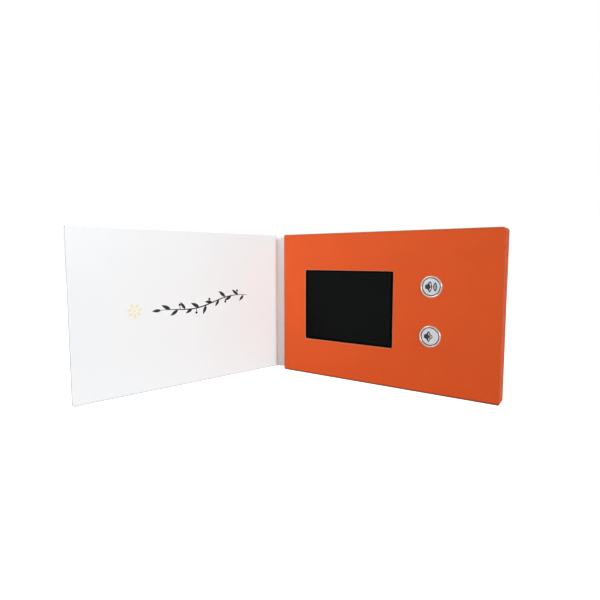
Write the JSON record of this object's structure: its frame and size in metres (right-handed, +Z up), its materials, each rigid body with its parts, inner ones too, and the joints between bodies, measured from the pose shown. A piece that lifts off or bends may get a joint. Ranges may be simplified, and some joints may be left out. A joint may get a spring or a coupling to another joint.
{
  "type": "lcd video brochure",
  "caption": "Card folder that stands open like a book: a white-lined lid on a creased spine, and a thin orange block with a small screen, press buttons and a charging socket.",
  "frame": {"origin": "centre of the block's lower face, which it stands on", "axes": "+Z up, +X from the spine to the block's fore-edge, +Y out of the back panel; the screen looks to -Y"},
  "size_m": [0.1481, 0.1101, 0.075],
  "materials": {
    "orange_tray": "matte laminated print",
    "orange_cover": "matte laminated print",
    "white_paper": "matte laminated white",
    "grey_board": "uncoated",
    "black_foam": "soft closed-cell foam",
    "clear_film": "clear",
    "screen_black": "polarised, switched off",
    "backlight_white": "satin",
    "chip_black": "moulded",
    "amber_film": "flexible film",
    "board_green": "solder mask",
    "capacitor_tan": "fired",
    "cream_plastic": "moulded",
    "tin_steel": "tinned",
    "cell_silver": "foil pouch",
    "white_tape": "double-sided tape",
    "wire_red": "insulated wire",
    "speaker_black": "moulded",
    "magnet_nickel": "nickel plated",
    "silver_ring": "plated",
    "silver_cap": "fine satin"
  },
  "bodies": {
    "block": {"front_tray": "orange_tray", "back_panel": "orange_cover", "backing_board": "grey_board", "foam_liner": "black_foam", "window_film": "clear_film", "screen_glass": "screen_black", "screen_backlight": "backlight_white", "screen_driver_chip": "chip_black", "screen_ribbon": "amber_film", "main_board": "board_green", "board_pad": "black_foam", "ribbon_connector": "cream_plastic", "processor_chip": "chip_black", "memory_chip": "chip_black", "amplifier_chip": "chip_black", "clock_crystal": "tin_steel", "lid_sensor": "chip_black", "chip_capacitors": "capacitor_tan", "usb_shell": "tin_steel", "usb_insert": "chip_black", "battery_tape": "white_tape", "battery_pad": "black_foam", "battery_cell": "cell_silver", "battery_safety_board": "board_green", "battery_wires": "wire_red", "speaker_gasket": "black_foam", "speaker_frame": "speaker_black", "speaker_cone": "clear_film", "speaker_magnet": "magnet_nickel", "speaker_wires": "wire_red", "volume_up_ring": "silver_ring", "volume_down_ring": "silver_ring", "switch_bodies": "chip_black", "switch_covers": "tin_steel", "switch_domes": "tin_steel"},
    "spine": {"spine_card": "orange_cover", "spine_liner": "white_paper", "rear_crease": "orange_cover"},
    "lid": {"lid_card": "orange_cover", "lid_board": "grey_board", "lid_liner": "white_paper", "lid_magnet": "magnet_nickel", "front_crease": "orange_cover"},
    "volume_up_button": {"volume_up_cap": "silver_cap", "volume_up_stem": "chip_black"},
    "volume_down_button": {"volume_down_cap": "silver_cap", "volume_down_stem": "chip_black"}
  },
  "joints": [
    {"name": "rear_crease_fold", "type": "hinge", "parent": "block", "child": "spine", "pos_m": [-0.05645, 0.0036, 0.0375], "axis": [0, 0, -1], "range_deg": [-74, 16], "deforming": ["rear_crease"]},
    {"name": "front_crease_fold", "type": "hinge", "parent": "spine", "child": "lid", "pos_m": [-0.06496, 0.00116, 0.0375], "axis": [0, 0, -1], "range_deg": [-30, 60], "deforming": ["front_crease"]},
    {"name": "volume_up_press", "type": "slide", "parent": "block", "child": "volume_up_button", "axis": [0, 1, 0], "range_m": [0, 0.0003], "stiffness_N_per_m": 2000},
    {"name": "volume_down_press", "type": "slide", "parent": "block", "child": "volume_down_button", "axis": [0, 1, 0], "range_m": [0, 0.0003], "stiffness_N_per_m": 2000}
  ]
}
